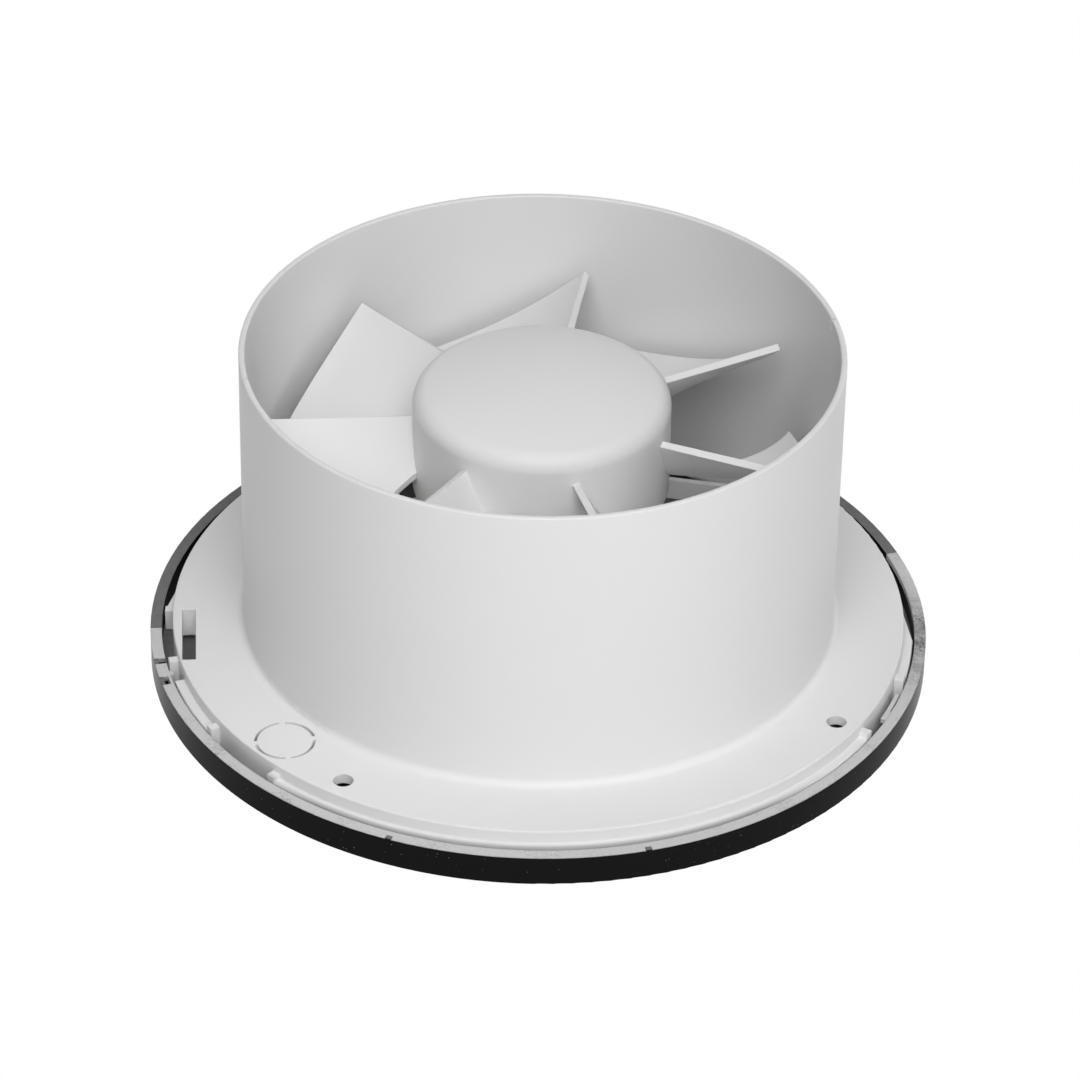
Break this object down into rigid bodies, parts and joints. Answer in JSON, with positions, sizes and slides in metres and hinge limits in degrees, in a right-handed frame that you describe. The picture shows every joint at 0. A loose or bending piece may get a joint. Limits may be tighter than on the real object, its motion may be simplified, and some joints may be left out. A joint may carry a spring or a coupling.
{
  "type": "bathroom exhaust fan",
  "caption": "White round axial duct fan with a tall spigot, a wall flange, a domed impeller and a black front cover, lying face down.",
  "frame": {"origin": "centre of the front cover's face, which is the lowest face as the fan lies on its cover", "axes": "+Z along the duct's axis, from the cover's face in the room to the spigot's rim; -Y towards the camera of the picture"},
  "size_m": [0.195, 0.195, 0.0888],
  "materials": {
    "white_plastic": "satin",
    "white_clip_plastic": "satin, smudged",
    "black_plastic": "gloss",
    "steel_sheet": "rolled",
    "steel_bright": "bright",
    "zinc_cast": "cast",
    "aluminium_cast": "cast",
    "copper": "bare",
    "bronze": "oiled",
    "brass": "turned",
    "felt": "fibrous",
    "nylon": "matt",
    "coil_tape": "satin",
    "pvc_brown": "satin",
    "pvc_blue": "satin"
  },
  "bodies": {
    "base": {"housing": "white_plastic", "stator_stack": "steel_sheet", "shading_rings": "copper", "coil_bobbin": "nylon", "coil_winding": "coil_tape", "front_bracket": "zinc_cast", "rear_bracket": "zinc_cast", "front_bearing": "bronze", "rear_bearing": "bronze", "bearing_retainers": "steel_bright", "oil_felts": "felt", "motor_screws": "steel_bright", "terminal_block": "nylon", "terminal_clamps": "brass", "terminal_screws": "steel_bright", "terminal_cover": "white_plastic", "terminal_cover_screw": "steel_bright", "cable_clamp": "white_plastic", "cable_clamp_screws": "steel_bright", "motor_lead_live": "pvc_brown", "motor_lead_neutral": "pvc_blue"},
    "rotor": {"motor_shaft": "steel_bright", "rotor_core": "steel_sheet", "rotor_cage": "aluminium_cast", "thrust_collars": "nylon", "impeller": "white_plastic", "impeller_clip": "steel_bright"},
    "cover": {"front_cover": "black_plastic", "clip_ring": "white_clip_plastic"}
  },
  "joints": [
    {"name": "rotor_spin", "type": "hinge", "parent": "base", "child": "rotor", "pos_m": [0, 0, 0.05], "axis": [0, 0, 1], "continuous": true},
    {"name": "cover_pull", "type": "slide", "parent": "base", "child": "cover", "axis": [0, 0, -1], "range_m": [0, 0.03]}
  ]
}
